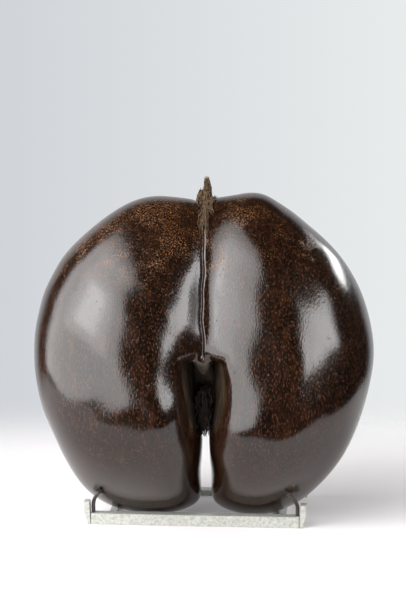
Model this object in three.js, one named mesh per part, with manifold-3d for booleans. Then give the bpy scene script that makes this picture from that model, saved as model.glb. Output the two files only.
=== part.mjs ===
// A coco de mer nut, polished, with its remains of husk fibre, at rest on a small metal stand.
// Millimetres, +Z up. The cleft between the two halves faces -Y. The origin is on the table, under the
// middle of the whole object.
import * as THREE from "three";
import { mergeVertices } from "three/addons/utils/BufferGeometryUtils.js";
import Module from "manifold-3d";

// ---------------------------------------------------------------- driving dimensions

const NUT_HEIGHT = 285; // from the lowest point of the halves to their shoulders
const NUT_LIFT = 2.5; // the stand holds the nut this far above the table
const GAP = 0.3; // between pieces that touch

// The two halves. Each is an ellipsoid whose radii and place change with height. Every list runs from
// the bottom of the nut to its top in equal steps and guides a smooth curve.
const HALVES = {
  // distance of the middle of a half from the seam
  ridge: { left: [43, 52, 58, 61, 62, 61, 56, 48, 40], right: [43, 52, 58, 64, 69, 70, 62, 50, 40] },
  // radius of a half towards the seam
  inner: {
    left: [77, 65, 53, 56, 60, 61, 60, 62, 69, 75, 78, 78, 79, 81, 84, 88, 90],
    right: [77, 65, 53, 58, 63, 65.5, 67, 71, 89, 104, 107, 106, 103, 98, 93, 91, 90],
  },
  // radius of a half away from the seam
  outer: { left: [93, 75, 79, 89, 87, 87, 89, 90, 71], right: [61, 67, 76, 82, 84, 81, 83, 80, 57] },
  // place of the middle in depth: the lobes bulge to the front
  lean: { left: [-11, -13, -12, -6, 0, 5, 8, 9, 10], right: [-11, -13, -12, -4, 6, 13, 13, 10, 10] },
  // squareness of the inner edge
  blunt: { left: [0, 0.4, 0.6, 0.5, 0.6, 1, 0.8, 0.3, 0], right: [0, 0.5, 1.3, 1.4, 1, 0.2, 0, 0, 0] },
};
const DEPTH = [38, 62.5, 81, 86, 86, 86, 84, 81, 78]; // radius towards the front and back
const FLAT = [1, 1, 0.9, 0.5, 0.2, 0, 0, 0, 0]; // 1 where the end of a half is flattened, 0 where it is round
const SEAM = [2, 2, 1.5, 0.5, -1.5, -2.5, -2.5, -1.5, 0]; // sideways wander of the seam
const JOIN = [5, 5, 5, 8, 24, 16, 12, 22, 26]; // softness of the valley where the halves have grown together
const ENDS = { left: [1, 282.3], right: [0, 285] }; // bottom and top, above the nut's lowest point
const SIDE_TURN = 25; // breadth over which an inner radius turns into an outer one
const HALF_RADIUS = 83; // a half's field counts in shares of its radius, and this mean radius makes them mm

// A soft swelling of the left half, front and back, where it bends into the fork.
const SWELL = { rise: 5.5, x: -33, z: 103, width: 15, height: 26 };

// The fork: a slot through the nut, and beside it two arched hollows cut in from the front and from the back,
// which narrow and draw to the middle as they go in. Their lists run from the arches' foot to their top.
const SLOT = { width: 3.3, top: 118, lip: 5 };
const ARCHES = {
  foot: 88,
  top: 147,
  middle: { left: [-1, -4, -7, -9.5, -12, -14, -15], right: [1, 4, 6.5, 8.5, 10.5, 11, 10.5] },
  width: { left: [4, 8, 9, 8.5, 8, 6.5, 3], right: [4, 7, 8.5, 7.5, 7, 6, 3] },
  lip: 10,
  floor: 22, // distance of the bottom of a hollow from the middle plane of the nut
  mouth: 60,
  round: 4,
};

// Husk fibre: a stiff spike with a shorter tuft beside it on top, and a plug deep in the fork.
const TOP_TUFT = [
  { from: [2, 6, 274], to: [2.8, 8, 299.5], thick: 6, thin: 1.5 },
  { from: [-3, 5, 274], to: [-5.5, 6, 288], thick: 6, thin: 2 },
  { from: [8, 5, 272], to: [9, 6, 283.5], thick: 6, thin: 2.5 },
  { from: [0, 2, 277], to: [-0.5, -14, 271], thick: 5, thin: 3 },
];
const FORK_TUFT = [-35, -24, -12, 0, 12, 24, 35].map((depth) => ({
  from: [0.5, depth, 120],
  to: [1.5, 0.8 * depth, 80],
  thick: 11,
  thin: 7,
}));
const TUFT_JOIN = 5; // softness where the bundles of a tuft run together

// The stand: two rails across, two bars between them, and at each corner an upright and a prong.
const STAND = { length: 183, depth: 120, turn: -4.3, x: -3.8, y: 15 }; // turn in degrees, seen from above
// A prong's reach after its bend is measured inward, back and up; the rear prongs lean further.
const FRONT_RAIL = { depth: 10.8, height: 10, reach: [10, -10, 16] };
const REAR_RAIL = { depth: 12.7, height: 5, reach: [13, -26, 26] };
const SIDE_BAR = { width: 6, height: 4, inset: 16 }; // inset of its middle from the end of the rails
const UPRIGHT = { height: 20.5, foot: 3, waist: 6, waistHeight: 12.5, head: 5 };
const PRONG = { radius: 1.7, bend: 21, stand: 2.4 }; // bend: height above the table; stand: axis to nut
const EDGE = 0.5; // bevel on the edges of the bars
const METAL = { color: 0xb9bcb6, roughness: 0.45, metalness: 0.9 };

// ---------------------------------------------------------------- shapes as distance fields

// The value of a smooth curve guided by a list, at a share of the way from its start (0) to its end (1).
function along(list, share) {
  const place = THREE.MathUtils.clamp(share, 0, 1) * (list.length - 1);
  const i = Math.min(Math.floor(place), list.length - 2);
  const f = place - i;
  const at = (k) => list[THREE.MathUtils.clamp(i + k, 0, list.length - 1)];
  const pull = [(1 - f) ** 3, 3 * f ** 3 - 6 * f ** 2 + 4, -3 * f ** 3 + 3 * f ** 2 + 3 * f + 1, f ** 3];
  return pull.reduce((sum, weight, k) => sum + (weight * at(k - 1)) / 6, 0);
}

// Joins two fields, with a fillet of the given softness.
function join(a, b, softness) {
  const h = THREE.MathUtils.clamp(0.5 + (0.5 * (b - a)) / softness, 0, 1);
  return THREE.MathUtils.lerp(b, a, h) - softness * h * (1 - h);
}

const carve = (a, b, softness) => -join(-a, b, softness);

// A rod from one point to another whose radius goes from thick to thin.
function rodField(point, { from, to, thick, thin }) {
  const start = new THREE.Vector3(...from);
  const run = new THREE.Vector3(...to).sub(start);
  const t = THREE.MathUtils.clamp(point.clone().sub(start).dot(run) / run.lengthSq(), 0, 1);
  return point.distanceTo(start.addScaledVector(run, t)) - THREE.MathUtils.lerp(thick, thin, t);
}

// One half of the nut: side is "left" or "right".
function halfField(point, side) {
  const [low, high] = ENDS[side];
  const share = (point.z - low) / (high - low);
  const s = 2 * share - 1;
  const of = (name) => along(HALVES[name][side], share);
  const facing = side === "left" ? -1 : 1;
  const across = facing * (point.x - along(SEAM, share)) - of("ridge");
  const outward = 0.5 + 0.5 * Math.tanh(across / SIDE_TURN);
  const radius = THREE.MathUtils.lerp(of("inner"), of("outer"), outward);
  const power = 2 + of("blunt") * (1 - outward);
  const through = (point.y - of("lean")) / along(DEPTH, share);
  const end = s * s * (1 - along(FLAT, share) * (1 - s * s));
  return (Math.sqrt(Math.abs(across / radius) ** power + through ** 2 + end) - 1) * HALF_RADIUS;
}

// One hollow of the fork.
function archField(point, side) {
  const { foot, top, middle, width, floor, mouth, round } = ARCHES;
  const depth = Math.abs(point.y);
  const near = THREE.MathUtils.clamp((depth - floor) / (mouth - floor), 0, 1); // 1 at the mouth
  const share = (point.z - foot) / (top - foot);
  const centre = along(middle[side], share) * (0.4 + 0.6 * near);
  const beside = Math.abs(point.x - centre) - along(width[side], share) * (0.55 + 0.45 * near);
  const within = Math.min(top - point.z, point.z - foot);
  return carve(carve(beside, within, round), depth - floor, round);
}

function nutField(point) {
  const share = point.z / NUT_HEIGHT;
  let field = join(halfField(point, "left"), halfField(point, "right"), along(JOIN, share));
  const aside = (point.x - SWELL.x) / SWELL.width;
  const above = (point.z - SWELL.z) / SWELL.height;
  field -= SWELL.rise * Math.exp(-(aside ** 2) - above ** 2);
  const slot = Math.max(Math.abs(point.x - along(SEAM, share)) - SLOT.width, point.z - SLOT.top);
  field = carve(field, slot, SLOT.lip);
  for (const side of ["left", "right"]) field = carve(field, archField(point, side), ARCHES.lip);
  return field;
}

const tuftField = (bundles) => (point) =>
  bundles.map((bundle) => rodField(point, bundle)).reduce((a, b) => join(a, b, TUFT_JOIN));

// ---------------------------------------------------------------- meshes from fields

// Moves a point along the field's slope until it lies on the surface where the field has that level.
function settle(point, field, level) {
  const step = 0.5;
  for (let round = 0; round < 4; round++) {
    const slope = new THREE.Vector3(
      ...["x", "y", "z"].map((axis) => {
        const ahead = point.clone();
        const behind = point.clone();
        ahead[axis] += step;
        behind[axis] -= step;
        return (field(ahead) - field(behind)) / (2 * step);
      }),
    );
    point.addScaledVector(slope, (level - field(point)) / Math.max(slope.lengthSq(), 0.05));
  }
  return point;
}

// A closed mesh of the surface where the field has the given level. The three lists are the places of a
// grid's planes along X, Y and Z. Each cell that the surface crosses gets one vertex, and each grid line
// that it crosses gets one face between the four cells around it.
function skin(field, grid, level = 0) {
  const size = grid.map((planes) => planes.length);
  const index = (i, j, k) => (i * size[1] + j) * size[2] + k;
  const corner = (i, j, k) => new THREE.Vector3(grid[0][i], grid[1][j], grid[2][k]);
  const values = new Float64Array(size[0] * size[1] * size[2]);
  const each = (lengths, visit) => {
    for (let i = 0; i < lengths[0]; i++)
      for (let j = 0; j < lengths[1]; j++) for (let k = 0; k < lengths[2]; k++) visit(i, j, k);
  };
  each(size, (i, j, k) => (values[index(i, j, k)] = field(corner(i, j, k)) - level));

  const inside = (i, j, k) => values[index(i, j, k)] < 0;
  const directions = [[1, 0, 0], [0, 1, 0], [0, 0, 1]];
  const positions = [];
  const vertexOf = new Map();
  each(size.map((n) => n - 1), (i, j, k) => {
    const crossings = [];
    directions.forEach(([di, dj, dk], axis) => {
      const [u, v] = directions.filter((_, other) => other !== axis);
      for (const a of [0, 1])
        for (const b of [0, 1]) {
          const p = [i + a * u[0] + b * v[0], j + a * u[1] + b * v[1], k + a * u[2] + b * v[2]];
          const q = [p[0] + di, p[1] + dj, p[2] + dk];
          if (inside(...p) === inside(...q)) continue;
          const start = values[index(...p)];
          const share = start / (start - values[index(...q)]);
          crossings.push(corner(...p).lerp(corner(...q), share));
        }
    });
    if (!crossings.length) return;
    const middle = crossings.reduce((sum, p) => sum.add(p), new THREE.Vector3());
    vertexOf.set(index(i, j, k), positions.length);
    positions.push(settle(middle.divideScalar(crossings.length), field, level));
  });

  const faces = [];
  each(size, (i, j, k) =>
    directions.forEach(([di, dj, dk], axis) => {
      const end = [i + di, j + dj, k + dk];
      if (end.some((n, a) => n >= size[a])) return;
      if (inside(i, j, k) === inside(...end)) return;
      const [u, v] = [directions[(axis + 1) % 3], directions[(axis + 2) % 3]];
      const cells = [[0, 0], [1, 0], [1, 1], [0, 1]].map(([a, b]) =>
        vertexOf.get(index(i - a * u[0] - b * v[0], j - a * u[1] - b * v[1], k - a * u[2] - b * v[2])),
      );
      if (!inside(i, j, k)) cells.reverse();
      const [p, q, r, s] = cells;
      const wide = positions[p].distanceTo(positions[r]) > positions[q].distanceTo(positions[s]);
      faces.push(...(wide ? [p, q, s, q, r, s] : [p, q, r, p, r, s]));
    }),
  );
  const geometry = new THREE.BufferGeometry().setFromPoints(positions);
  return geometry.setIndex(faces);
}

// Evenly spaced planes, or planes that crowd together towards a centre where crowd is above 0.
function planes(low, high, spacing, crowd = 0, centre = 0) {
  const count = Math.ceil((high - low) / spacing);
  const reach = Math.max(centre - low, high - centre);
  return Array.from({ length: count + 1 }, (_, i) => {
    const place = low + ((high - low) * i) / count - centre;
    return centre + place * (1 - crowd + crowd * (place / reach) ** 2);
  });
}

// ---------------------------------------------------------------- cutting one piece by another

const wasm = await Module();
wasm.setup();

function solidOf(geometry) {
  const bare = geometry.clone();
  bare.deleteAttribute("normal");
  bare.deleteAttribute("uv");
  const merged = mergeVertices(bare, 1e-3);
  return new wasm.Manifold(
    new wasm.Mesh({
      numProp: 3,
      vertProperties: merged.attributes.position.array,
      triVerts: new Uint32Array(merged.index.array),
    }),
  );
}

function geometryOf(solid) {
  const { vertProperties, triVerts } = solid.getMesh();
  return new THREE.BufferGeometry()
    .setAttribute("position", new THREE.BufferAttribute(vertProperties, 3))
    .setIndex(new THREE.BufferAttribute(triVerts, 1));
}

const cut = (geometry, tool) => geometryOf(solidOf(geometry).subtract(solidOf(tool)));

// ---------------------------------------------------------------- the nut and its fibre

function named(name, geometry, material) {
  const mesh = new THREE.Mesh(geometry, material);
  mesh.name = name;
  return mesh;
}

function makeNut() {
  const shell = new THREE.MeshStandardMaterial({ color: 0x3a2012, roughness: 0.25 });
  const fibre = new THREE.MeshStandardMaterial({ color: 0x6b4a2c, roughness: 0.9 });
  const nutGrid = [planes(-162, 162, 8, 0.62), planes(-100, 100, 9.5), planes(-10, 295, 8.8, 0.3, 138)];
  const nut = skin(nutField, nutGrid);
  const clearance = skin(nutField, nutGrid, GAP);
  const topGrid = [planes(-16, 20, 2), planes(-20, 18, 2.5), planes(264, 304, 2.5)];
  const forkGrid = [planes(-16, 18, 3), planes(-54, 54, 5), planes(70, 140, 5)];
  const group = new THREE.Group();
  group.add(named("nut", nut, shell));
  // The nut itself is cut away too: where the skins bend hard, their flat faces can touch within the gap.
  const tuft = (bundles, grid) => cut(cut(skin(tuftField(bundles), grid), clearance), nut);
  group.add(named("top_fibre_tuft", tuft(TOP_TUFT, topGrid), fibre));
  group.add(named("fork_fibre_tuft", tuft(FORK_TUFT, forkGrid), fibre));
  group.position.z = NUT_LIFT;
  return group;
}

// ---------------------------------------------------------------- the stand

// A square bar with bevelled edges, its bottom on the table and its middle at x, y.
function bar(length, depth, height, x, y) {
  const outline = new THREE.Shape([
    new THREE.Vector2(-length / 2 + EDGE, EDGE),
    new THREE.Vector2(length / 2 - EDGE, EDGE),
    new THREE.Vector2(length / 2 - EDGE, height - EDGE),
    new THREE.Vector2(-length / 2 + EDGE, height - EDGE),
  ]);
  return standing(outline, depth, x, y);
}

// An outline in X and Z, extruded through the depth and bevelled.
function standing(outline, depth, x, y) {
  const bevel = { bevelThickness: EDGE, bevelSize: EDGE, bevelSegments: 1 };
  const geometry = new THREE.ExtrudeGeometry(outline, { depth: depth - 2 * EDGE, ...bevel });
  return geometry.rotateX(Math.PI / 2).translate(x, y + depth / 2 - EDGE, 0);
}

// A corner post at the end of a rail. Its outer face slopes out to a waist and then rises to a square head.
function upright(side, railDepth, y) {
  const end = STAND.length / 2 + GAP + EDGE;
  const profile = [
    [end, EDGE],
    [end + UPRIGHT.foot - 2 * EDGE, EDGE],
    [end + UPRIGHT.waist - 2 * EDGE, UPRIGHT.waistHeight],
    [end + UPRIGHT.waist - 2 * EDGE, UPRIGHT.height - EDGE],
    [end + UPRIGHT.waist - UPRIGHT.head, UPRIGHT.height - EDGE],
  ];
  const outline = new THREE.Shape(profile.map(([x, z]) => new THREE.Vector2(side * x, z)));
  return standing(outline, railDepth, 0, y);
}

// A round prong: it stands on its rail beside the upright, then bends over and lies against the nut.
function prong(side, [inward, back, up], foot, layOnNut) {
  const bend = foot.clone().setZ(PRONG.bend);
  const tip = layOnNut(bend.clone().add(new THREE.Vector3(-side * inward, back, up)));
  const belowBend = foot.clone().lerp(bend, 0.75);
  const pastBend = bend.clone().lerp(tip, 0.2);
  const corner = new THREE.CatmullRomCurve3([foot, belowBend, pastBend, tip]);
  const section = new THREE.Shape().absellipse(0, 0, PRONG.radius, PRONG.radius, 0, 2 * Math.PI);
  return new THREE.ExtrudeGeometry(section, { steps: 10, curveSegments: 5, extrudePath: corner });
}

function makeStand(nutGroup) {
  const material = new THREE.MeshStandardMaterial(METAL);
  const group = new THREE.Group();
  group.position.set(STAND.x, STAND.y, 0);
  group.rotation.z = THREE.MathUtils.degToRad(STAND.turn);
  group.updateMatrixWorld(true);
  const layOnNut = (point) => {
    const onNut = settle(nutGroup.worldToLocal(group.localToWorld(point)), nutField, PRONG.stand);
    return group.worldToLocal(nutGroup.localToWorld(onNut));
  };

  const rails = [
    { name: "front", facing: -1, ...FRONT_RAIL },
    { name: "rear", facing: 1, ...REAR_RAIL },
  ];
  for (const { name, facing, depth, height, reach } of rails) {
    const y = facing * (STAND.depth / 2 - depth / 2);
    group.add(named(name + "_rail", bar(STAND.length, depth, height, 0, y), material));
    for (const [word, side] of [["left", -1], ["right", 1]]) {
      group.add(named(`${name}_${word}_upright`, upright(side, depth, y), material));
      const foot = new THREE.Vector3(side * (STAND.length / 2 - PRONG.radius), y, height + GAP);
      group.add(named(`${name}_${word}_prong`, prong(side, reach, foot, layOnNut), material));
    }
  }
  const between = STAND.depth - FRONT_RAIL.depth - REAR_RAIL.depth - 2 * GAP;
  const middle = (FRONT_RAIL.depth - REAR_RAIL.depth) / 2;
  for (const [word, side] of [["left", -1], ["right", 1]]) {
    const x = side * (STAND.length / 2 - SIDE_BAR.inset);
    group.add(named(`${word}_side_bar`, bar(SIDE_BAR.width, between, SIDE_BAR.height, x, middle), material));
  }
  return group;
}

// ---------------------------------------------------------------- the whole object

const nut = makeNut();
const whole = new THREE.Group();
whole.add(nut, makeStand(nut));
const middle = new THREE.Box3().setFromObject(whole).getCenter(new THREE.Vector3());
whole.position.set(-middle.x, -middle.y, 0);
const coco_de_mer = new THREE.Group().add(whole);

export default coco_de_mer;
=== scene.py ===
"""A polished coco de mer nut, with remains of husk fibre, at rest on a low metal stand.

Everything is in metres in the CAD's frame: +Z up, the cleft of the nut faces -Y, the table is at Z = 0.
The nut's form and its fibres are written in millimetres and turned to metres as they are placed.
"""

import math

import bpy
import numpy as np
from mathutils import Matrix, Vector


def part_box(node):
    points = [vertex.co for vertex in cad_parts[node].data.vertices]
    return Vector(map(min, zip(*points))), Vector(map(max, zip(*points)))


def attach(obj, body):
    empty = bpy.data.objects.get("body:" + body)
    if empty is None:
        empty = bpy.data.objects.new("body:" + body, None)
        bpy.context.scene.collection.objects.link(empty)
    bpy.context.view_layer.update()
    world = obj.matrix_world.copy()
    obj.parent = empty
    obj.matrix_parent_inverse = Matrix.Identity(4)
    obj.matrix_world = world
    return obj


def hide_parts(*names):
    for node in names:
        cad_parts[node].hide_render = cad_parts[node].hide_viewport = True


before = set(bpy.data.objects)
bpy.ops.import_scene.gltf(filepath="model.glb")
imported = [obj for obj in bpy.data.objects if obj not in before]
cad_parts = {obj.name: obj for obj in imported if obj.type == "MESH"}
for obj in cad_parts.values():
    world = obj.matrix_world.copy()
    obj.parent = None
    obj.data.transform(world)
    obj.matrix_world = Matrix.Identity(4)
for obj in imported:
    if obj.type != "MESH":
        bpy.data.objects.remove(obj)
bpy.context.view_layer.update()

BODY = "root"
scatter = np.random.default_rng(11)


# ------------------------------------------------------------------ small helpers

SOFT_STEP = {"interpolation_type": "SMOOTHSTEP"}
IN_COLOUR = {"data_type": "RGBA"}


def linear(hex_colour):
    """An sRGB hex colour as linear RGBA."""
    channels = [int(hex_colour[i:i + 2], 16) / 255 for i in (1, 3, 5)]
    return tuple(c / 12.92 if c <= 0.04045 else ((c + 0.055) / 1.055) ** 2.4 for c in channels) + (1.0,)


def fill_in(tree, node, inputs):
    """Gives each input a number, a colour, an output to link, or a node whose main output is linked."""
    for name, value in dict(inputs).items():
        if isinstance(value, bpy.types.Node):
            value = next(output for output in value.outputs if output.enabled)
        if isinstance(value, bpy.types.NodeSocket):
            tree.links.new(value, node.inputs[name])
        else:
            node.inputs[name].default_value = value


def add(tree, kind, inputs=(), **settings):
    """Adds a node with its settings and links."""
    made = tree.nodes.new("ShaderNode" + kind)
    for name, value in settings.items():
        setattr(made, name, value)
    fill_in(tree, made, inputs)
    return made


def new_material(name):
    """A material with its node tree, its shader and the place on the object that its patterns follow."""
    material = bpy.data.materials.new(name)
    material.use_nodes = True
    tree = material.node_tree
    return material, tree, tree.nodes["Principled BSDF"], add(tree, "TexCoord").outputs["Object"]


def new_piece(name, vertices, faces, material, smooth=True):
    """A mesh object in the scene. Vertices are in metres."""
    mesh = bpy.data.meshes.new(name)
    mesh.from_pydata(np.asarray(vertices, float).tolist(), [], faces)
    mesh.update()
    mesh.polygons.foreach_set("use_smooth", [smooth] * len(mesh.polygons))
    piece = bpy.data.objects.new(name, mesh)
    bpy.context.scene.collection.objects.link(piece)
    mesh.materials.append(material)
    return piece


# ------------------------------------------------------------------ camera

NUT_LOW, NUT_HIGH = (np.array(corner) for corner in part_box("nut"))
NUT_CENTRE = (NUT_LOW + NUT_HIGH) / 2
CAMERA_DISTANCE = 2.3  # from the middle of the nut
CAMERA_SIDEWAYS = -0.001  # a hair to the left of it
CAMERA_ELEVATION = 11.5  # degrees above the horizon, seen from the middle of the nut
AIM_UP = 1.08  # degrees that the camera looks above the middle of the nut
LENS, SENSOR = 153.4, 36.0  # in millimetres

camera_data = bpy.data.cameras.new("camera")
camera_data.lens = LENS
camera_data.sensor_width = SENSOR
camera_data.clip_start, camera_data.clip_end = 0.05, 50.0
camera = bpy.data.objects.new("camera", camera_data)
bpy.context.scene.collection.objects.link(camera)
elevation = math.radians(CAMERA_ELEVATION)
away = Vector((0.0, -math.cos(elevation), math.sin(elevation)))
camera.location = Vector(NUT_CENTRE) + away * CAMERA_DISTANCE + Vector((CAMERA_SIDEWAYS, 0, 0))
camera.rotation_euler = (math.radians(90 - CAMERA_ELEVATION + AIM_UP), 0, 0)
bpy.context.scene.camera = camera
bpy.context.scene.view_settings.view_transform = "Standard"


# ------------------------------------------------------------------ the nut's form

# The same form as the CAD: two halves, each an ellipsoid whose radii and place change with height, grown
# together. Every list runs from the bottom of the nut to its top in equal steps and guides a smooth curve.
# The left half is -1 and the right half is 1.
NUT_HEIGHT = 285.0
# How far each half's middle is from the seam.
RIDGE = {-1: (43, 52, 58, 61, 62, 61, 56, 48, 40), 1: (43, 52, 58, 64, 69, 70, 62, 50, 40)}
# Each half's radius towards the seam, and away from it.
INNER = {-1: (77, 65, 53, 56, 60, 61, 60, 62, 69, 75, 78, 78, 79, 81, 84, 88, 90),
         1: (77, 65, 53, 58, 63, 65.5, 67, 71, 89, 104, 107, 106, 103, 98, 93, 91, 90)}
OUTER = {-1: (93, 75, 79, 89, 87, 87, 89, 90, 71), 1: (61, 67, 76, 82, 84, 81, 83, 80, 57)}
# The radius from front to back, and how far each half leans to the back.
DEPTH = (38, 62.5, 81, 86, 86, 86, 84, 81, 78)
LEAN = {-1: (-11, -13, -12, -6, 0, 5, 8, 9, 10), 1: (-11, -13, -12, -4, 6, 13, 13, 10, 10)}
# How much squarer than an ellipse the side at the seam is, and how much flatter than a ball the bottom is.
BLUNT = {-1: (0, 0.4, 0.6, 0.5, 0.6, 1, 0.8, 0.3, 0), 1: (0, 0.5, 1.3, 1.4, 1, 0.2, 0, 0, 0)}
FLAT = (1, 1, 0.9, 0.5, 0.2, 0, 0, 0, 0)
# Where the seam runs, and how softly the halves join there.
SEAM = (2, 2, 1.5, 0.5, -1.5, -2.5, -2.5, -1.5, 0)
JOIN = (5, 5, 5, 8, 24, 16, 12, 22, 26)
ENDS = {-1: (1.0, 282.3), 1: (0.0, 285.0)}  # the lowest and the highest point of each half
SIDE_TURN = 25.0  # the width over which the radius towards the seam turns to the one away from it
HALF_RADIUS = 83.0  # about a half's mean radius, which makes its field a distance
# The left half's shoulder at the fork.
SWELL, SWELL_X, SWELL_Z, SWELL_WIDTH, SWELL_HEIGHT = 5.5, -33, 103, 15, 26
# The fork: a slot through the nut, and beside it two arched hollows cut in from the front and from the
# back, which narrow and draw to the middle as they go in. Their lists run from the foot of the arches to
# their top.
SLOT, SLOT_TOP, SLOT_LIP = 3.3, 118, 5
ARCH_FOOT, ARCH_TOP = 88, 147
ARCH_MIDDLE = {-1: (-1, -4, -7, -9.5, -12, -14, -15), 1: (1, 4, 6.5, 8.5, 10.5, 11, 10.5)}
ARCH_WIDTH = {-1: (4, 8, 9, 8.5, 8, 6.5, 3), 1: (4, 7, 8.5, 7.5, 7, 6, 3)}
ARCH_LIP, ARCH_FLOOR, ARCH_MOUTH, ARCH_ROUND = 10, 22, 60, 4
DEEP_MIDDLE, DEEP_WIDTH = 0.4, 0.55  # the shares of the mouth's offset and width that are left deep inside


def along(guide, share):
    """The value of a smooth curve guided by a list, at a share of the way along it."""
    guide = np.asarray(guide, float)
    place = np.clip(share, 0, 1) * (len(guide) - 1)
    i = np.minimum(place.astype(int), len(guide) - 2)
    f = place - i
    pulls = ((1 - f) ** 3, 3 * f ** 3 - 6 * f ** 2 + 4, -3 * f ** 3 + 3 * f ** 2 + 3 * f + 1, f ** 3)
    return sum(pull * guide[np.clip(i + k - 1, 0, len(guide) - 1)] for k, pull in enumerate(pulls)) / 6


def join(a, b, softness):
    """Two fields joined with a fillet."""
    h = np.clip(0.5 + 0.5 * (b - a) / softness, 0, 1)
    return b + (a - b) * h - softness * h * (1 - h)


def hump(value, width):
    """1 at zero, falling away softly to both sides."""
    return np.exp(-(value / width) ** 2)


def rise(value, low, high):
    """0 below low, 1 above high, and a smooth step between."""
    t = np.clip((value - low) / (high - low), 0, 1)
    return t * t * (3 - 2 * t)


def half_field(x, y, z, side):
    """Roughly the distance to one half's surface, negative inside."""
    low, high = ENDS[side]
    share = (z - low) / (high - low)
    s = 2 * share - 1
    across = side * (x - along(SEAM, share)) - along(RIDGE[side], share)
    outward = 0.5 + 0.5 * np.tanh(across / SIDE_TURN)
    inner = along(INNER[side], share)
    radius = inner + (along(OUTER[side], share) - inner) * outward
    blunt = along(BLUNT[side], share) * (1 - outward)
    through = (y - along(LEAN[side], share)) / along(DEPTH, share)
    end = s * s * (1 - along(FLAT, share) * (1 - s * s))
    return (np.sqrt(np.abs(across / radius) ** (2 + blunt) + through ** 2 + end) - 1) * HALF_RADIUS


def arch_field(x, y, z, side):
    """Distance to one hollow of the fork."""
    near = np.clip((np.abs(y) - ARCH_FLOOR) / (ARCH_MOUTH - ARCH_FLOOR), 0, 1)  # 1 at the mouth
    share = (z - ARCH_FOOT) / (ARCH_TOP - ARCH_FOOT)
    middle = along(ARCH_MIDDLE[side], share) * (DEEP_MIDDLE + (1 - DEEP_MIDDLE) * near)
    width = along(ARCH_WIDTH[side], share) * (DEEP_WIDTH + (1 - DEEP_WIDTH) * near)
    within = np.minimum(ARCH_TOP - z, z - ARCH_FOOT)
    hollow = -join(width - np.abs(x - middle), within, ARCH_ROUND)
    return -join(-hollow, np.abs(y) - ARCH_FLOOR, ARCH_ROUND)


def grown_form(x, y, z):
    """The nut without its fine relief, as in the CAD."""
    share = z / NUT_HEIGHT
    field = join(half_field(x, y, z, -1), half_field(x, y, z, 1), along(JOIN, share))
    field = field - SWELL * hump(x - SWELL_X, SWELL_WIDTH) * hump(z - SWELL_Z, SWELL_HEIGHT)
    slot = np.maximum(np.abs(x - along(SEAM, share)) - SLOT, z - SLOT_TOP)
    field = -join(-field, slot, SLOT_LIP)
    for side in (-1, 1):
        field = -join(-field, arch_field(x, y, z, side), ARCH_LIP)
    return field


# ------------------------------------------------------------------ the nut's fine relief

UNEVEN = 0.35  # what scraping and sanding leave, in waves some 60 to 80 mm long
# The left half is fuller in front: its flank, which falls away sooner towards the seam, and its edge
# beside the fork. Each has how much, where, and how wide and high it is.
FLANK, FLANK_X, FLANK_Z = 1.5, -50, 125
FLANK_TO_SEAM, FLANK_OUTWARD, FLANK_HEIGHT = 12, 34, 30
BROW, BROW_X, BROW_Z, BROW_WIDTH, BROW_HEIGHT = 2.6, -22, 110, 9, 22
FRONT_FROM, FRONT_TO = 10, 50  # how far to the front both begin, and where they are whole
GROOVE, GROOVE_EDGE, GROOVE_SLOPE = 3.0, 1.2, 7  # the seam's depth, its sharp side and its gentle side
GROOVE_FROM, GROOVE_TO = 146, 160  # the heights over which the groove begins, above the beak of the fork


def unevenness(x, y, z):
    """Slow waves in the polish."""
    over = x / 9.0 + 1.7 * np.sin(z / 31.0)
    up = z / 13.0 + 0.9 * np.sin(y / 17.0 + x / 23.0)
    return UNEVEN * np.sin(over) * np.sin(up)


def fullness(x, y, z):
    """How much further the left half comes out in front, beside the fork."""
    width = np.where(x > FLANK_X, FLANK_TO_SEAM, FLANK_OUTWARD)
    flank = FLANK * hump(x - FLANK_X, width) * hump(z - FLANK_Z, FLANK_HEIGHT)
    brow = BROW * hump(x - BROW_X, BROW_WIDTH) * hump(z - BROW_Z, BROW_HEIGHT)
    return (flank + brow) * rise(-y, FRONT_FROM, FRONT_TO)


def seam_groove(x, z):
    """The depth of the wandering seam. Its left side falls away gently, its right side is sharp."""
    across = x - (along(SEAM, z / NUT_HEIGHT) + 0.6 * np.sin(z / 11.0) + 0.35 * np.sin(z / 4.3))
    sharp = hump(across, GROOVE_EDGE)
    groove = np.where(across < 0, 0.35 * sharp + 0.65 * hump(across, GROOVE_SLOPE), sharp)
    return GROOVE * groove * rise(z, GROOVE_FROM, GROOVE_TO)


def nut_field(x, y, z):
    """The nut with the fine relief that a real shell has."""
    return grown_form(x, y, z) + unevenness(x, y, z) - fullness(x, y, z) + seam_groove(x, z)


# ------------------------------------------------------------------ closed skins from fields

def slope(field, points, step=0.4):
    """The field's gradient at the points."""
    gradient = np.empty_like(points)
    for axis in range(3):
        ahead, behind = points.copy(), points.copy()
        ahead[:, axis] += step
        behind[:, axis] -= step
        gradient[:, axis] = (field(*ahead.T) - field(*behind.T)) / (2 * step)
    return gradient


def steepness(way):
    """The square of a slope's length, kept clear of zero for a division."""
    return np.maximum((way ** 2).sum(1), 0.05)


def settle(points, field, rounds=4):
    """Moves points along the field's slope until they lie on its surface."""
    for _ in range(rounds):
        way = slope(field, points)
        points = points - way * (field(*points.T) / steepness(way))[:, None]
    return points


def planes(low, high, spacing, crowd=0.0):
    """Evenly spaced planes, or planes that crowd together towards zero."""
    place = np.linspace(low, high, int(math.ceil((high - low) / spacing)) + 1)
    return place * (1 - crowd + crowd * (place / max(-low, high)) ** 2)


def sampled(field, grid, slab=16):
    """The field's value wherever three planes of the grid cross, worked out slab by slab to save memory."""
    gx, gy, gz = grid
    values = np.empty((len(gx), len(gy), len(gz)))
    for i in range(0, len(gx), slab):
        values[i:i + slab] = field(*np.meshgrid(gx[i:i + slab], gy, gz, indexing="ij"))
    return values


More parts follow.
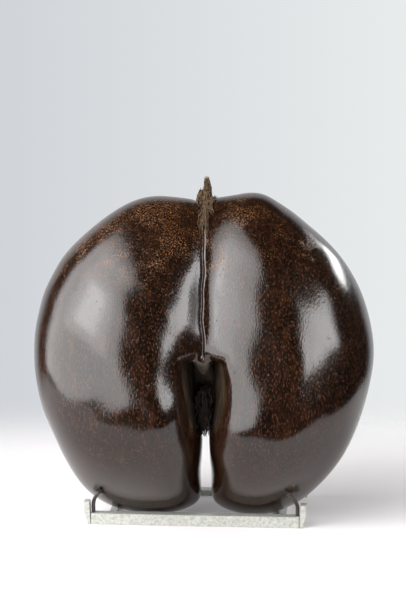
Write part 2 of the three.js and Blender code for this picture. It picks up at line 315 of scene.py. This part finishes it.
def relaxed(points, faces, field, rounds=3):
    """Evens out a mesh of four-sided faces, and settles it on the field's surface again each time."""
    for _ in range(rounds):
        pull = np.zeros_like(points)
        weight = np.zeros(len(points))
        for a in range(4):
            for b in (faces[:, (a + 1) % 4], faces[:, (a + 3) % 4]):
                np.add.at(pull, faces[:, a], points[b])
                np.add.at(weight, faces[:, a], 1)
        points = settle(0.5 * points + 0.5 * pull / weight[:, None], field, rounds=2)
    return points


def skin(field, grid):
    """A closed mesh of four-sided faces where the field is zero: a point in each cell of the grid that
    the surface passes through, and a face around each edge of the grid that it crosses."""
    values = sampled(field, grid)
    inside = values < 0
    cells = np.array(values.shape) - 1
    total = np.zeros((cells.prod(), 3))
    count = np.zeros(cells.prod())

    def cell_number(index):
        """A cell's place in the flat lists."""
        return (index[:, 0] * cells[1] + index[:, 1]) * cells[2] + index[:, 2]

    steps = np.eye(3, dtype=int)
    quads = []
    for axis in range(3):
        near, far = [slice(None)] * 3, [slice(None)] * 3
        near[axis], far[axis] = slice(None, -1), slice(1, None)
        crossed = np.argwhere(inside[tuple(near)] != inside[tuple(far)])
        start = values[tuple(crossed.T)]
        end = values[tuple((crossed + steps[axis]).T)]
        place = np.stack([grid[a][crossed[:, a]] for a in range(3)], 1).astype(float)
        ahead = grid[axis][crossed[:, axis] + 1]
        place[:, axis] += start / (start - end) * (ahead - place[:, axis])
        u, v = steps[(axis + 1) % 3], steps[(axis + 2) % 3]
        round_the_edge = [cell_number(crossed - a * u - b * v) for a, b in ((0, 0), (1, 0), (1, 1), (0, 1))]
        for cell in round_the_edge:
            np.add.at(total, cell, place)
            np.add.at(count, cell, 1)
        quad = np.stack(round_the_edge, 1)
        turned = start >= 0
        quad[turned] = quad[turned][:, ::-1]
        quads.append(quad)
    used = np.flatnonzero(count)
    number = np.full(len(count), -1)
    number[used] = np.arange(len(used))
    points = settle(total[used] / count[used, None], field)
    faces = number[np.concatenate(quads)]
    return relaxed(points, faces, field), faces


# ------------------------------------------------------------------ strands

ASKEW = (0.31, 0.87, 0.38)  # a direction that no strand runs in


def strands(paths, radii, sides=5):
    """Closed tapered strands, one for each path. Paths are (strand, point, xyz), radii (strand, point)."""
    count, length, _ = paths.shape
    tangent = np.gradient(paths, axis=1)
    tangent /= np.linalg.norm(tangent, axis=2, keepdims=True) + 1e-9
    reference = np.cross(tangent[:, :1], ASKEW)
    first = np.cross(tangent, np.cross(np.broadcast_to(reference, tangent.shape), tangent))
    first /= np.linalg.norm(first, axis=2, keepdims=True) + 1e-9
    second = np.cross(tangent, first)
    angle = 2 * np.pi * np.arange(sides) / sides
    ring = first[:, :, None] * np.cos(angle)[:, None] + second[:, :, None] * np.sin(angle)[:, None]
    points = (paths[:, :, None] + radii[:, :, None, None] * ring).reshape(-1, 3)
    numbers = (np.arange(count), np.arange(length - 1), np.arange(sides))
    strand, point, side = np.meshgrid(*numbers, indexing="ij")
    base = (strand * length + point) * sides
    following = (side + 1) % sides
    quads = np.stack([base + side, base + following, base + sides + following, base + sides + side], -1)
    starts = np.arange(count) * length * sides
    root = starts[:, None] + np.arange(sides)[::-1]
    tip = starts[:, None] + (length - 1) * sides + np.arange(sides)
    return points, quads.reshape(-1, 4).tolist() + root.tolist() + tip.tolist()


def together(parts):
    """Several (points, faces) as one."""
    points, faces, before = [], [], 0
    for some_points, some_faces in parts:
        points.append(some_points)
        faces += [[i + before for i in face] for face in some_faces]
        before += len(some_points)
    return np.concatenate(points), faces


# ------------------------------------------------------------------ materials

def where_pared(tree, place, axes):
    """The share of the husk's last crumbs that is left: most on the shoulders, more on the left half, in
    ragged patches of 25 mm."""
    height = add(tree, "MapRange", {"Value": axes["Z"], "From Min": 0.150, "From Max": 0.285}, **SOFT_STEP)
    left = {"Value": axes["X"], "From Min": -0.03, "From Max": 0.05, "To Min": 0.22, "To Max": 0.0}
    left = add(tree, "MapRange", left, **SOFT_STEP)
    upper = add(tree, "Math", {0: height, 1: left}, operation="ADD")
    patches = add(tree, "TexNoise", {"Vector": place, "Scale": 42, "Detail": 4.0, "Roughness": 0.62})
    ragged = add(tree, "Math", {0: patches, 1: 0.5}, operation="SUBTRACT")
    ragged = add(tree, "Math", {0: ragged, 1: 3.4}, operation="MULTIPLY")
    pared = add(tree, "Math", {0: upper, 1: ragged}, operation="ADD")
    return add(tree, "MapRange", {"Value": pared, "From Min": 0.78, "From Max": 1.45}, **SOFT_STEP)


def where_raw(tree, axes):
    """1 where no tool reached, inside the fork."""
    from_seam = add(tree, "Math", {0: axes["X"]}, operation="ABSOLUTE")
    from_middle = add(tree, "Math", {0: axes["Y"]}, operation="ABSOLUTE")
    beside = add(tree, "MapRange", {"Value": from_seam, "From Min": 0.026, "From Max": 0.017}, **SOFT_STEP)
    deep = add(tree, "MapRange", {"Value": from_middle, "From Min": 0.076, "From Max": 0.062}, **SOFT_STEP)
    above = add(tree, "MapRange", {"Value": axes["Z"], "From Min": 0.080, "From Max": 0.095}, **SOFT_STEP)
    below = add(tree, "MapRange", {"Value": axes["Z"], "From Min": 0.152, "From Max": 0.146}, **SOFT_STEP)
    in_plan = add(tree, "Math", {0: beside, 1: deep}, operation="MULTIPLY")
    in_height = add(tree, "Math", {0: above, 1: below}, operation="MULTIPLY")
    return add(tree, "Math", {0: in_plan, 1: in_height}, operation="MULTIPLY")


def polished_shell():
    """Coco de mer shell, scraped, sanded and waxed. It gives a near-black brown wall under a clear gloss,
    with crumbs of paler husk in its pores where less was pared away."""
    material, tree, shader, place = new_material("waxed_coco_de_mer_shell")
    axes = add(tree, "SeparateXYZ", {"Vector": place}).outputs
    pared, raw = where_pared(tree, place, axes), where_raw(tree, axes)

    # The fibres of the wall run from top to bottom, so its patterns are drawn out in height. The real ones
    # are finer than 0.5 mm, too fine to show, so grain, ripple and specks are drawn 1 mm wide.
    longest = add(tree, "VectorMath", {0: place, 1: (1.0, 1.0, 0.22)}, operation="MULTIPLY")
    long = add(tree, "VectorMath", {0: place, 1: (1.0, 1.0, 0.3)}, operation="MULTIPLY")
    short = add(tree, "VectorMath", {0: place, 1: (1.0, 1.0, 0.8)}, operation="MULTIPLY")
    grain = add(tree, "TexNoise", {"Vector": long, "Scale": 950, "Detail": 2.0, "Roughness": 0.7})
    ripple = add(tree, "TexNoise", {"Vector": longest, "Scale": 1000, "Detail": 1.0, "Roughness": 0.5})
    specks = add(tree, "TexNoise", {"Vector": short, "Scale": 1050, "Detail": 3.0, "Roughness": 0.75})
    # Pits about 1 mm wide, streaks 6 mm wide and clouds of 50 mm.
    pitting = add(tree, "TexNoise", {"Vector": long, "Scale": 400, "Detail": 2.0, "Roughness": 0.5})
    streaks = add(tree, "TexNoise", {"Vector": longest, "Scale": 170, "Detail": 3.0, "Roughness": 0.6})
    clouds = add(tree, "TexNoise", {"Vector": place, "Scale": 20, "Detail": 2.0, "Roughness": 0.5})

    # The wall: near black, with brown streaks, brown grain, and crumbs of pale husk where it was pared.
    cloudy = add(tree, "MapRange", {"Value": clouds, "From Min": 0.35, "From Max": 0.65}, **SOFT_STEP)
    streaked = add(tree, "MapRange", {"Value": streaks, "From Min": 0.45, "From Max": 0.75}, **SOFT_STEP)
    grained = add(tree, "MapRange", {"Value": grain, "From Min": 0.49, "From Max": 0.75}, **SOFT_STEP)
    speckled = add(tree, "MapRange", {"Value": specks, "From Min": 0.53, "From Max": 0.66}, **SOFT_STEP)
    share = add(tree, "Math", {0: pared, 1: 0.98}, operation="MULTIPLY")
    share = add(tree, "Math", {0: share, 1: 0.02}, operation="ADD")
    crumbs = add(tree, "Math", {0: speckled, 1: share}, operation="MULTIPLY")
    colour = add(tree, "Mix", {"Factor": cloudy, "A": linear("#090402"), "B": linear("#130904")}, **IN_COLOUR)
    colour = add(tree, "Mix", {"Factor": streaked, "A": colour, "B": linear("#28150b")}, **IN_COLOUR)
    colour = add(tree, "Mix", {"Factor": grained, "A": colour, "B": linear("#45291a")}, **IN_COLOUR)
    colour = add(tree, "Mix", {"Factor": crumbs, "A": colour, "B": linear("#8f6036")}, **IN_COLOUR)
    # The raw wall in the fork is a dull olive brown. The pits are black.
    dull = add(tree, "MapRange", {"Value": streaks, "From Min": 0.40, "From Max": 0.65}, **SOFT_STEP)
    dull = add(tree, "Mix", {"Factor": dull, "A": linear("#1e150e"), "B": linear("#463524")}, **IN_COLOUR)
    colour = add(tree, "Mix", {"Factor": raw, "A": colour, "B": dull}, **IN_COLOUR)
    pits = add(tree, "MapRange", {"Value": pitting, "From Min": 0.30, "From Max": 0.24}, **SOFT_STEP)
    colour = add(tree, "Mix", {"Factor": pits, "A": colour, "B": linear("#080403")}, **IN_COLOUR)

    # The wax shines a little less over open grain, and hardly at all in the fork.
    open_grain = {"Value": grain, "From Min": 0.50, "From Max": 0.68, "To Min": 0.14, "To Max": 0.21}
    open_grain = add(tree, "MapRange", open_grain, **SOFT_STEP)
    pared_matt = add(tree, "Math", {0: pared, 1: 0.03}, operation="MULTIPLY")
    waxed = add(tree, "Math", {0: open_grain, 1: pared_matt}, operation="ADD")
    raw_matt = add(tree, "Math", {0: raw, 1: 0.6}, operation="MULTIPLY")
    matt = add(tree, "Math", {0: waxed, 1: raw_matt}, operation="MAXIMUM")

    # The sanding left ripples, the crumbs stand out a little, and the pits lie deeper.
    standing = add(tree, "Math", {0: crumbs, 1: 0.6}, operation="MULTIPLY")
    sunken = add(tree, "Math", {0: pits, 1: 1.6}, operation="MULTIPLY")
    relief = add(tree, "Math", {0: ripple, 1: standing}, operation="ADD")
    relief = add(tree, "Math", {0: relief, 1: sunken}, operation="SUBTRACT")
    bump = add(tree, "Bump", {"Height": relief, "Strength": 1.0, "Distance": 0.00009})
    fill_in(tree, shader, {"Base Color": colour, "Roughness": matt, "Normal": bump, "IOR": 1.55})
    return material


def mottled(name, stretch, noise, share, colours, bump, looks):
    """A material in two colours that pass softly into each other, with the same pattern as fine relief.
    Noise is (scale, detail), share is where the pattern turns, bump is (strength, depth in metres)."""
    material, tree, shader, place = new_material(name)
    place = add(tree, "VectorMath", {0: place, 1: stretch}, operation="MULTIPLY")
    mottle = add(tree, "TexNoise", {"Vector": place, "Scale": noise[0], "Detail": noise[1]})
    factor = add(tree, "MapRange", {"Value": mottle, "From Min": share[0], "From Max": share[1]})
    first, second = linear(colours[0]), linear(colours[1])
    colour = add(tree, "Mix", {"Factor": factor, "A": first, "B": second}, **IN_COLOUR)
    relief = add(tree, "Bump", {"Height": mottle, "Strength": bump[0], "Distance": bump[1]})
    fill_in(tree, shader, {"Base Color": colour, "Normal": relief, **looks})
    return material


def dry_husk_fibre(name, root, worn):
    """Dry coir-like husk fibre, torn and never dressed. It gives no shine, and each strand is paler where
    it is worn, in stretches 1 mm wide and 3 mm long."""
    return mottled(name, (1.0, 1.0, 0.3), (900.0, 3.0), (0.38, 0.66), (root, worn), (0.5, 0.0003),
                   {"Roughness": 0.75, "IOR": 1.45})


def painted_cast_metal():
    """Cast bars with thin, worn, pale grey-green paint. It gives a satin, mottled look in spots of 2 mm."""
    return mottled("pale_painted_cast_metal", (1.0, 1.0, 1.0), (420.0, 4.0), (0.35, 0.65),
                   ("#94958f", "#b1b2ab"), (0.6, 0.0006), {"Roughness": 0.38})


def steel_rod_in_painted_shade():
    """Bent steel rod of the stand's metal, mottled in two dark greys. The dark grey is painted shade and
    painted reflection: it stands for the nut's shade over the rod and for the dark nut that the rod mirrors.
    It gives a satin look, with a soft line of light along the rod, in spots of 2 mm."""
    return mottled("steel_rod_dark_with_painted_shade", (1.0, 1.0, 1.0), (500.0, 3.0), (0.4, 0.7),
                   ("#1d1b18", "#3d3a34"), (0.5, 0.0004), {"Roughness": 0.35})


SHELL = polished_shell()
DARK_FIBRE = dry_husk_fibre("dark_husk_fibre", "#0e0906", "#33241a")
PALE_FIBRE = dry_husk_fibre("pale_husk_fibre", "#1b120b", "#684f34")
CAST = painted_cast_metal()
ROD = steel_rod_in_painted_shade()


# ------------------------------------------------------------------ the nut

SPACING = 2.1  # of the planes of the skin's grid
SEAM_CROWD = 0.6  # how much closer they are at the seam

nut_grid = (
    planes(-162, 162, SPACING, SEAM_CROWD),
    planes(-102, 102, SPACING),
    planes(-8, 293, SPACING),
)
nut_points, nut_faces = skin(nut_field, nut_grid)
fine_low, fine_high = nut_points.min(0), nut_points.max(0)
# The fine skin is set exactly into the box of the CAD's nut.
scale = (NUT_HIGH - NUT_LOW) / (fine_high - fine_low)


def placed(points):
    """Points of the nut's own frame, in millimetres, as points of the scene, in metres."""
    return NUT_LOW + (np.asarray(points, float) - fine_low) * scale


nut = new_piece("polished_shell", placed(nut_points), nut_faces.tolist(), SHELL)
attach(nut, BODY)
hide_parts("nut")


# ------------------------------------------------------------------ husk fibre

def off_the_shell(points, clearance=0.4):
    """Moves points that are in the shell, or too close over it, out to the clearance."""
    for _ in range(3):
        way = slope(nut_field, points)
        short = np.maximum(clearance - nut_field(*points.T), 0) / steepness(way)
        points = points + way * short[:, None]
    return points


def fibre_bundle(roots, tips, thickness, wander, length=11):
    """Tapered, wandering strands from roots to tips, kept off the shell. In the nut's own millimetres."""
    count = len(roots)
    t = np.linspace(0, 1, length)
    paths = roots[:, None] + (tips - roots)[:, None] * t[None, :, None]
    looseness = t[None, :, None] ** 0.5  # the root is held
    for turns in (1.2, 3.1):
        phase = scatter.uniform(0, 2 * np.pi, (count, 1, 3))
        paths = paths + wander / turns * np.sin(phase + turns * np.pi * t[None, :, None]) * looseness
    paths = off_the_shell(paths.reshape(-1, 3)).reshape(paths.shape)
    radii = thickness * scatter.uniform(0.6, 1.3, (count, 1)) * (1 - 0.7 * t[None] ** 2)
    return strands(paths, radii)


def about(centre, spread, count):
    """Random points about a centre."""
    return np.asarray(centre) + np.clip(scatter.normal(0, 0.5, (count, 3)), -1, 1) * np.asarray(spread)


def spike(foot, tip, foot_spread, tip_spread, count, thickness, wander):
    """A stiff lock of fibre that narrows from its foot to its tip. Some strands end before the tip."""
    foot, tip, foot_spread, tip_spread = map(np.asarray, (foot, tip, foot_spread, tip_spread))
    roots = about(foot, foot_spread, count)
    reach = scatter.uniform(0.45, 1.0, (count, 1)) ** 0.6
    ends = about(foot + (tip - foot) * reach, foot_spread + (tip_spread - foot_spread) * reach, count)
    return fibre_bundle(roots, ends, thickness, wander)


def top_fibres():
    """The spike over the seam, its shorter neighbours, and fibre pressed into the seam below them."""
    locks = [
        spike((2.2, 4, 271), (2.6, 7.5, 299.8), (7.5, 4.5, 2), (1.5, 1.6, 0.8), 230, 0.7, 0.9),
        spike((-4.0, 4, 270), (-2.8, 6, 289), (4.5, 4.0, 1.5), (2.0, 1.5, 0.8), 120, 0.6, 1.0),
        spike((7.5, 4, 270), (8.2, 5, 282.5), (4.5, 4.0, 1.5), (2.0, 1.5, 0.8), 110, 0.55, 1.0),
    ]
    in_the_seam, beside_it = 70, 60
    roots = about((0.5, -6, 270), (3.2, 5, 2.5), in_the_seam)
    drop = scatter.uniform(6, 26, in_the_seam)
    fall = np.stack([scatter.normal(0, 1.0, in_the_seam), -0.55 * drop - 4, -drop], 1)
    locks.append(fibre_bundle(roots, roots + fall, 0.5, 0.8))
    roots = about((0.5, -2, 271), (9, 10, 2.0), beside_it)
    locks.append(fibre_bundle(roots, roots + about((0, -5, -2), (5, 6, 3), beside_it), 0.45, 1.0))
    return together(locks)


def fork_fibres():
    """A dark mat that fills the fork and hangs, ragged, into the slot, where it draws together."""
    count = 620
    slot_middle, drawn_from, drawn_over = 1.2, 64, 50
    depth = scatter.uniform(-43, 38, count)
    roots = np.stack([0.5 + scatter.normal(0, 3.6, count), depth, scatter.uniform(90, 121, count)], 1)
    fall = scatter.uniform(10, 34, count)
    aside = scatter.normal(0, 3.0, count)
    inward = -0.1 * depth + scatter.normal(0, 3, count)
    tips = roots + np.stack([aside, inward, -fall], 1)
    drawn = np.clip((tips[:, 2] - drawn_from) / drawn_over, 0.25, 1)
    tips[:, 0] = slot_middle + (tips[:, 0] - slot_middle) * drawn
    tips[:, 2] = np.maximum(tips[:, 2], scatter.uniform(76, 84, count))
    return fibre_bundle(roots, tips, 0.55, 2.2)


def fibre_piece(name, made, material, node):
    """One tuft of fibre in place of the CAD's plain one."""
    points, faces = made
    piece = new_piece(name, placed(points), faces, material)
    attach(piece, BODY)
    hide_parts(node)


fibre_piece("top_husk_fibres", top_fibres(), PALE_FIBRE, "top_fibre_tuft")
fibre_piece("fork_husk_fibres", fork_fibres(), DARK_FIBRE, "fork_fibre_tuft")


# ------------------------------------------------------------------ the stand, as in the CAD

for name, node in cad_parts.items():
    if name.endswith("_prong"):
        # The prongs get the rod material, whose dark grey is painted shade and painted reflection of the nut
        # above them.
        node.material_slots[0].material = ROD
    elif name.endswith(("_rail", "_bar", "_upright")):
        node.material_slots[0].material = CAST


# ------------------------------------------------------------------ lights

def standing_light(name, start, end, low, high, radiance):
    """A soft light like a standing frame of cloth, from one plan point to another, which faces the nut."""
    start, end = Vector((*start, 0)), Vector((*end, 0))
    run = end - start
    data = bpy.data.lights.new(name, "AREA")
    data.shape = "RECTANGLE"
    data.size, data.size_y = run.length, high - low
    data.energy = radiance * math.pi * data.size * data.size_y
    lamp = bpy.data.objects.new(name, data)
    middle = (start + end) / 2
    middle.z = (low + high) / 2
    facing = Vector((-run.y, run.x, 0)).normalized()
    if facing.dot(Vector(NUT_CENTRE) - middle) < 0:
        facing = -facing
    sideways = Vector((0, 0, 1)).cross(-facing)
    turn = Matrix((sideways, (0, 0, 1), -facing)).transposed().to_4x4()
    lamp.matrix_world = Matrix.Translation(middle) @ turn
    lamp.visible_camera = False
    bpy.context.scene.collection.objects.link(lamp)


LEFT_WINDOW = ((-0.33, -1.62), (-1.22, 0.47))
SILL, LINTEL = 0.36, 0.89  # of the window on the right, whose two panes stand at an angle

standing_light("window_left", *LEFT_WINDOW, -0.05, 1.45, 4.6)
standing_light("window_left_top", *LEFT_WINDOW, 1.45, 2.10, 3.0)
standing_light("window_left_middle", (-0.75, -1.25), (-1.20, -0.05), 0.40, 1.45, 2.0)
standing_light("window_left_heart", (-0.95, -0.90), (-1.16, -0.35), 0.60, 1.15, 4.0)
standing_light("window_right_pane", (0.78, -1.40), (0.93, -1.12), SILL, LINTEL, 7.8)
standing_light("window_right_wide_pane", (0.945, -1.095), (1.38, -0.28), SILL, LINTEL, 7.8)
standing_light("lamp_behind_right", (1.31, 0.73), (0.88, 1.17), 0.55, 0.82, 14.0)


# ------------------------------------------------------------------ floor and surroundings

FLOOR_LEFT, FLOOR_RIGHT, FLOOR_FRONT, FLOOR_BACK = -0.70, 0.50, -0.34, 0.47
FADE_FROM, FADE_TO = 0.18, 0.46  # the stretch behind the nut over which the paper fades out


def seamless_paper():
    """White seamless paper. It gives a matt white which fades into the surroundings behind the nut, so that
    no edge shows there, with painted shade that makes it a little greyer on the left."""
    material, tree, shader, place = new_material("white_seamless_paper")
    axes = add(tree, "SeparateXYZ", {"Vector": place}).outputs
    # Painted shade: the paper's colour greys towards the left, standing for less light falling there.
    across = add(tree, "MapRange", {"Value": axes["X"], "From Min": -0.25, "From Max": 0.25})
    colour = {"Factor": across, "A": linear("#dddadb"), "B": linear("#faf7f7")}
    colour = add(tree, "Mix", colour, **IN_COLOUR)
    solid = {"Value": axes["Y"], "From Min": FADE_FROM, "From Max": FADE_TO, "To Min": 1.0, "To Max": 0.0}
    solid = add(tree, "MapRange", solid, **SOFT_STEP)
    fill_in(tree, shader, {"Base Color": colour, "Alpha": solid, "Roughness": 0.9})
    return material


floor_corners = [
    (FLOOR_LEFT, FLOOR_FRONT, 0), (FLOOR_RIGHT, FLOOR_FRONT, 0),
    (FLOOR_RIGHT, FLOOR_BACK, 0), (FLOOR_LEFT, FLOOR_BACK, 0),
]
floor = new_piece("floor", floor_corners, [[0, 1, 2, 3]], seamless_paper(), smooth=False)


def surroundings():
    """A pale wall, made greyer on the left by painted shade, and what the gloss mirrors in its place: a dark
    room, with the pale paper that hangs behind the nut."""
    world = bpy.data.worlds.new("studio")
    bpy.context.scene.world = world
    world.use_nodes = True
    tree = world.node_tree
    tree.nodes.clear()
    way = add(tree, "SeparateXYZ", {"Vector": add(tree, "TexCoord").outputs["Generated"]}).outputs
    # Painted shade: the wall's colour greys towards the left, standing for less light falling there.
    rightward = add(tree, "MapRange", {"Value": way["X"], "From Min": -0.08, "From Max": 0.08})
    wall = {"Factor": rightward, "A": linear("#d0d3d8"), "B": linear("#e9ecec")}
    wall = add(tree, "Mix", wall, **IN_COLOUR)
    backward = add(tree, "MapRange", {"Value": way["Y"], "From Min": 0.70, "From Max": 0.82}, **SOFT_STEP)
    mirrored = {"Factor": backward, "A": linear("#2a2a2c"), "B": linear("#dcdfe2")}
    mirrored = add(tree, "Mix", mirrored, **IN_COLOUR)
    seen = add(tree, "LightPath").outputs["Is Camera Ray"]
    chosen = add(tree, "Mix", {"Factor": seen, "A": mirrored, "B": wall}, **IN_COLOUR)
    glow = add(tree, "Background", {"Color": chosen, "Strength": 1.0})
    add(tree, "OutputWorld", {"Surface": glow})


surroundings()
